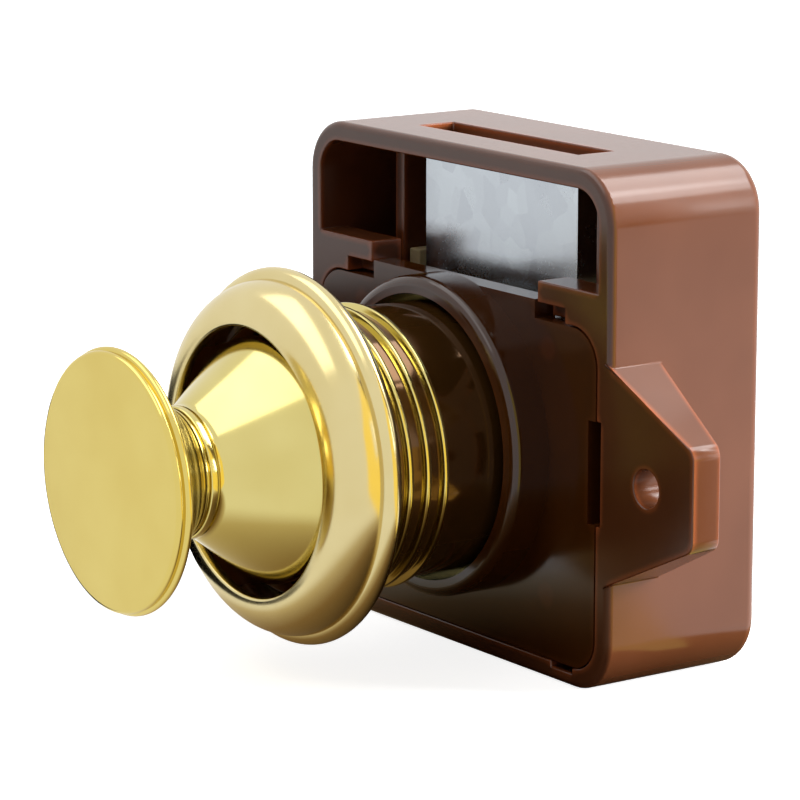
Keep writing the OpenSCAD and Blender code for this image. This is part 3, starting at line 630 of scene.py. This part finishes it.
def spring_piece():
    """Compression spring between the guide disc and the washer in the skirt. It is wound at one length;
    the real one shortens as the knob goes in."""
    wire = circle((0, 0), WIRE_R, WIRE_SIDES)
    wound = coil(SPRING_R, SPRING_H, SPRING_CURLS, wire, around=SPRING_AROUND)
    spring = to_object("return_spring_wound", *wound, SPRING_STEEL)
    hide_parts("return_spring")
    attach(spring, "case")
    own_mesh(spring)


knob_cap()
knob_head()
neck_ring()
knob_skirt()
rosette_piece()
sleeve_piece()
spring_piece()

# Finishes of the solids that show as they are
FINISHES = {
    "case": CASE_ABS,
    "front_plate": PLATE_ABS,
    "sleeve_screws": ZINC,
    "guide_disc": BLACK_ACETAL,
    "catch_pivot": ZINC,
    "knob_screw": ZINC,
    "plunger": NATURAL_ACETAL,
    "drive_pin": ZINC,
    "spring_washer": ZINC,
    "latch_bolt": GALVANISED,
    "bolt_carrier": NATURAL_ACETAL,
    "carrier_rivets": ZINC,
    "catch_arm": SPRING_STEEL}

# Roundings of the edges that catch the light, in millimetres, and what counts as one point, plane or edge
EDGE_ROUNDINGS = {"case": 0.12, "latch_bolt": 0.12, "bolt_carrier": 0.15}
ROUNDING_SEGMENTS = 3
SAME_POINT_MM = 0.001
SAME_PLANE_ANGLE = math.radians(0.4)
EDGE_ANGLE = math.radians(40)


def dress(name, material):
    """Gives a solid its finish, and rounds its edges where they catch the light."""
    solid = nodes[name]
    solid.data.materials.clear()
    solid.data.materials.append(material)
    if name not in EDGE_ROUNDINGS:
        return
    solid.data.shade_smooth()
    solid.modifiers.new("weld", "WELD").merge_threshold = SAME_POINT_MM * MM
    planes = solid.modifiers.new("planes", "DECIMATE")
    planes.decimate_type = "DISSOLVE"
    planes.angle_limit = SAME_PLANE_ANGLE
    rounding = solid.modifiers.new("rounding", "BEVEL")
    rounding.limit_method = "ANGLE"
    rounding.angle_limit = EDGE_ANGLE
    rounding.width = EDGE_ROUNDINGS[name] * MM
    rounding.segments = ROUNDING_SEGMENTS
    rounding.use_clamp_overlap = False
    solid.modifiers.new("flat_faces", "WEIGHTED_NORMAL").weight = 100


for solid_name, finish in FINISHES.items():
    dress(solid_name, finish)

# Camera of the photograph, with its focal length in pixels of an image of 800 by 800
AZIMUTH = math.radians(55.0)
ELEVATION = math.radians(11.75)
DISTANCE_MM = 303.5
FOCAL_PX = 3764.0
ASIDE_MM = -4.16
ALOFT_MM = 2.565
IMAGE_PX = 800
SENSOR_MM = 36.0
NEAREST_MM = 10.0


def photo_camera():
    """Camera at the photograph's angle, looking past the origin by a little aside and aloft."""
    backward = Vector((math.sin(AZIMUTH) * math.cos(ELEVATION),
                       -math.cos(AZIMUTH) * math.cos(ELEVATION),
                       math.sin(ELEVATION)))
    right = Vector((math.cos(AZIMUTH), math.sin(AZIMUTH), 0))
    up = backward.cross(right)
    data = bpy.data.cameras.new("camera")
    data.sensor_width = SENSOR_MM
    data.lens = FOCAL_PX * SENSOR_MM / IMAGE_PX
    data.clip_start = NEAREST_MM * MM
    camera = bpy.data.objects.new("camera", data)
    bpy.context.scene.collection.objects.link(camera)
    at = (backward * DISTANCE_MM + right * ASIDE_MM + up * ALOFT_MM) * MM
    turn = Matrix((right, up, backward)).transposed().to_4x4()
    camera.matrix_world = Matrix.Translation(at) @ turn
    bpy.context.scene.camera = camera


WHITE = "#ffffff"

# Floor: its width, and the middle and the two radii between which the painted shadow that mirrors see round the
# lock fades to white
FLOOR_MM = 3000
PAINTED_SHADOW_MIDDLE_MM = (9, 1)
PAINTED_SHADOW_RADII_MM = (6, 38)
PAINTED_SHADOW_TO_WHITE = [(0.0, "#1c1006"), (0.5, "#8a7250"), (0.85, "#cfc2a6"), (1.0, WHITE)]
FLOOR_GLOW = 0.85


def studio_floor():
    """White sweep: white to the lens, with the soft shadow of the lock, and dim to matt surfaces.
    Mirrors see a painted shadow on it, darkest at the lock."""
    material, tree = new_material("white_sweep")
    ray = add(tree, "ShaderNodeLightPath")
    matt = add(tree, "ShaderNodeBsdfDiffuse", {"Color": linear("#e6e6e6")})
    glow = add(tree, "ShaderNodeEmission", {"Color": linear(WHITE), "Strength": FLOOR_GLOW})
    lit = add(tree, "ShaderNodeAddShader", {0: matt.outputs["BSDF"], 1: glow.outputs["Emission"]})
    dim = add(tree, "ShaderNodeBsdfDiffuse", {"Color": linear("#6a6a6a")})
    seen = add(tree, "ShaderNodeMixShader", {
        0: ray.outputs["Is Camera Ray"], 1: dim.outputs["BSDF"], 2: lit.outputs["Shader"]})
    # Painted shadow: to mirrors the floor is a glow that is painted darker towards the lock
    spot = add(tree, "ShaderNodeNewGeometry")
    middle = [at * MM for at in PAINTED_SHADOW_MIDDLE_MM] + [floor_z]
    away = add(tree, "ShaderNodeVectorMath", {0: spot.outputs["Position"], 1: middle}, operation="DISTANCE")
    fading = add(tree, "ShaderNodeMapRange", {
        "Value": away.outputs["Value"],
        "From Min": PAINTED_SHADOW_RADII_MM[0] * MM,
        "From Max": PAINTED_SHADOW_RADII_MM[1] * MM}, interpolation_type="SMOOTHSTEP")
    painted_shadow_tint = add(tree, "ShaderNodeValToRGB", {"Fac": fading.outputs["Result"]}, stops=PAINTED_SHADOW_TO_WHITE)
    mirrored = add(tree, "ShaderNodeEmission", {"Color": painted_shadow_tint.outputs["Color"]})
    both = add(tree, "ShaderNodeMixShader", {
        0: ray.outputs["Is Glossy Ray"], 1: seen.outputs["Shader"], 2: mirrored.outputs["Emission"]})
    add(tree, "ShaderNodeOutputMaterial", {"Surface": both.outputs["Shader"]})
    half = FLOOR_MM / 2 * MM
    corners = [(-half, -half, floor_z), (half, -half, floor_z), (half, half, floor_z), (-half, half, floor_z)]
    to_object("floor", corners, [[0, 1, 2, 3]], material)


# Cards that only mirrors see: a colour, a brightness, a bearing in degrees from the right, and corners ahead,
# to the left and up, in millimetres from the point of the floor under the case's front. Black ones keep the
# front of the case dark, brown ones the sleeve brown, golden ones light the thread, and white ones stand for
# the lamp on the right and the floor that it lights.
BLACK_CARD = "#050403"
BROWN_CARD = "#5a4526"
GOLD_CARD = "#f0d878"
CARDS = {
    "front_left_floor_card": (BLACK_CARD, 1.0, 215, [
        (30, -60, 0), (30, 24, 0), (100, 2, 0), (100, -60, 0)]),
    "front_left_card": (BLACK_CARD, 1.0, 215, [
        (100, -60, 0), (100, 2, 0), (100, 2, 12), (100, -60, 12)]),
    "back_right_floor_card": (BROWN_CARD, 1.0, 35, [
        (28, -19, 0), (28, -11.5, 0), (60, -11.5, 0), (60, -19, 0)]),
    "back_right_card": (BROWN_CARD, 1.0, 35, [
        (60, -19, 0), (60, -11.5, 0), (60, -11.5, 32), (60, -3, 32),
        (60, -3, 98), (60, -20, 98), (60, -20, 32), (60, -19, 32)]),
    "gold_floor_card": (GOLD_CARD, 1.5, 12, [
        (80, -40, 0), (80, 20, 0), (24, 6, 0), (24, 3, 0)]),
    "gold_card": (GOLD_CARD, 1.5, 12, [
        (80, -40, 0), (80, 20, 0), (80, 20, 28), (80, -8, 28), (80, -8, 58),
        (80, 20, 58), (80, 24, 125), (80, 12, 125), (80, -40, 50)]),
    "pale_floor_card": (WHITE, 1.5, 35, [
        (30, -11.4, 0), (30, 30, 0), (250, 60, 0), (250, -11.4, 0)]),
    "right_panel": (WHITE, 1.6, 51.5, [
        (498, -125, 24), (498, 125, 24), (498, 125, 311), (498, -125, 311)]),
    "right_strip": (WHITE, 9.0, 35, [
        (498, -35, 88), (498, 30, 88), (498, 30, 240), (498, -35, 240)])}
CARD_LIFT_MM = 0.05


def mirrored_card(name, colour, brightness, bearing, corners_mm):
    """A glowing card that shows in mirrors alone, just clear of the floor."""
    material, tree = new_material(name)
    glow = add(tree, "ShaderNodeEmission", {"Color": linear(colour), "Strength": brightness})
    add(tree, "ShaderNodeOutputMaterial", {"Surface": glow.outputs["Emission"]})
    turn = Matrix.Rotation(math.radians(bearing), 3, "Z")
    base = Vector((0, 0, floor_z + CARD_LIFT_MM * MM))
    corners = [base + turn @ Vector(corner) * MM for corner in corners_mm]
    card = to_object(name, corners, [list(range(len(corners)))], material)
    card.visible_camera = False
    card.visible_diffuse = False
    card.visible_shadow = False
    card.visible_transmission = False


WORLD_DIM = 0.1


def white_surroundings():
    """World: white to the lens and to mirrors, dim to matt surfaces."""
    world = bpy.data.worlds.new("white_surroundings")
    world.use_nodes = True
    world.cycles.sampling_method = "NONE"
    tree = world.node_tree
    tree.nodes.clear()
    ray = add(tree, "ShaderNodeLightPath")
    seen = add(tree, "ShaderNodeMath", {0: ray.outputs["Is Camera Ray"], 1: ray.outputs["Is Glossy Ray"]},
               operation="MAXIMUM")
    shown = add(tree, "ShaderNodeMath", {0: seen.outputs["Value"], 1: ray.outputs["Is Transmission Ray"]},
                operation="MAXIMUM")
    strength = add(tree, "ShaderNodeMapRange", {"Value": shown.outputs["Value"], "To Min": WORLD_DIM})
    white = add(tree, "ShaderNodeBackground", {
        "Color": linear(WHITE), "Strength": strength.outputs["Result"]})
    add(tree, "ShaderNodeOutputWorld", {"Surface": white.outputs["Background"]})
    bpy.context.scene.world = world


# Softboxes: place, width and height in millimetres, brightness of the panel, and whether mirrors see it
SOFTBOXES = {
    "overhead_front_softbox": ((-100, -170, 420), 600, 280, 1.3, True),
    "overhead_back_softbox": ((70, 300, 430), 320, 220, 5.0, True),
    "right_softbox": ((310, 390, 150), 250, 300, 27.0, False),
    "high_right_softbox": ((242, 280, 325), 150, 150, 6.0, True)}


def softbox(name, at_mm, width_mm, height_mm, brightness, mirrored):
    """Area lamp that faces the lock."""
    data = bpy.data.lights.new(name, "AREA")
    data.shape = "RECTANGLE"
    data.size = width_mm * MM
    data.size_y = height_mm * MM
    data.energy = brightness * math.pi * data.size * data.size_y
    lamp = bpy.data.objects.new(name, data)
    lamp.location = Vector(at_mm) * MM
    lamp.rotation_euler = (-Vector(at_mm)).to_track_quat("-Z", "Y").to_euler()
    lamp.visible_camera = False
    lamp.visible_glossy = mirrored
    bpy.context.scene.collection.objects.link(lamp)


photo_camera()
studio_floor()
for card_name, card in CARDS.items():
    mirrored_card(card_name, *card)
white_surroundings()
for softbox_name, settings in SOFTBOXES.items():
    softbox(softbox_name, *settings)

bpy.context.scene.view_settings.view_transform = "Standard"
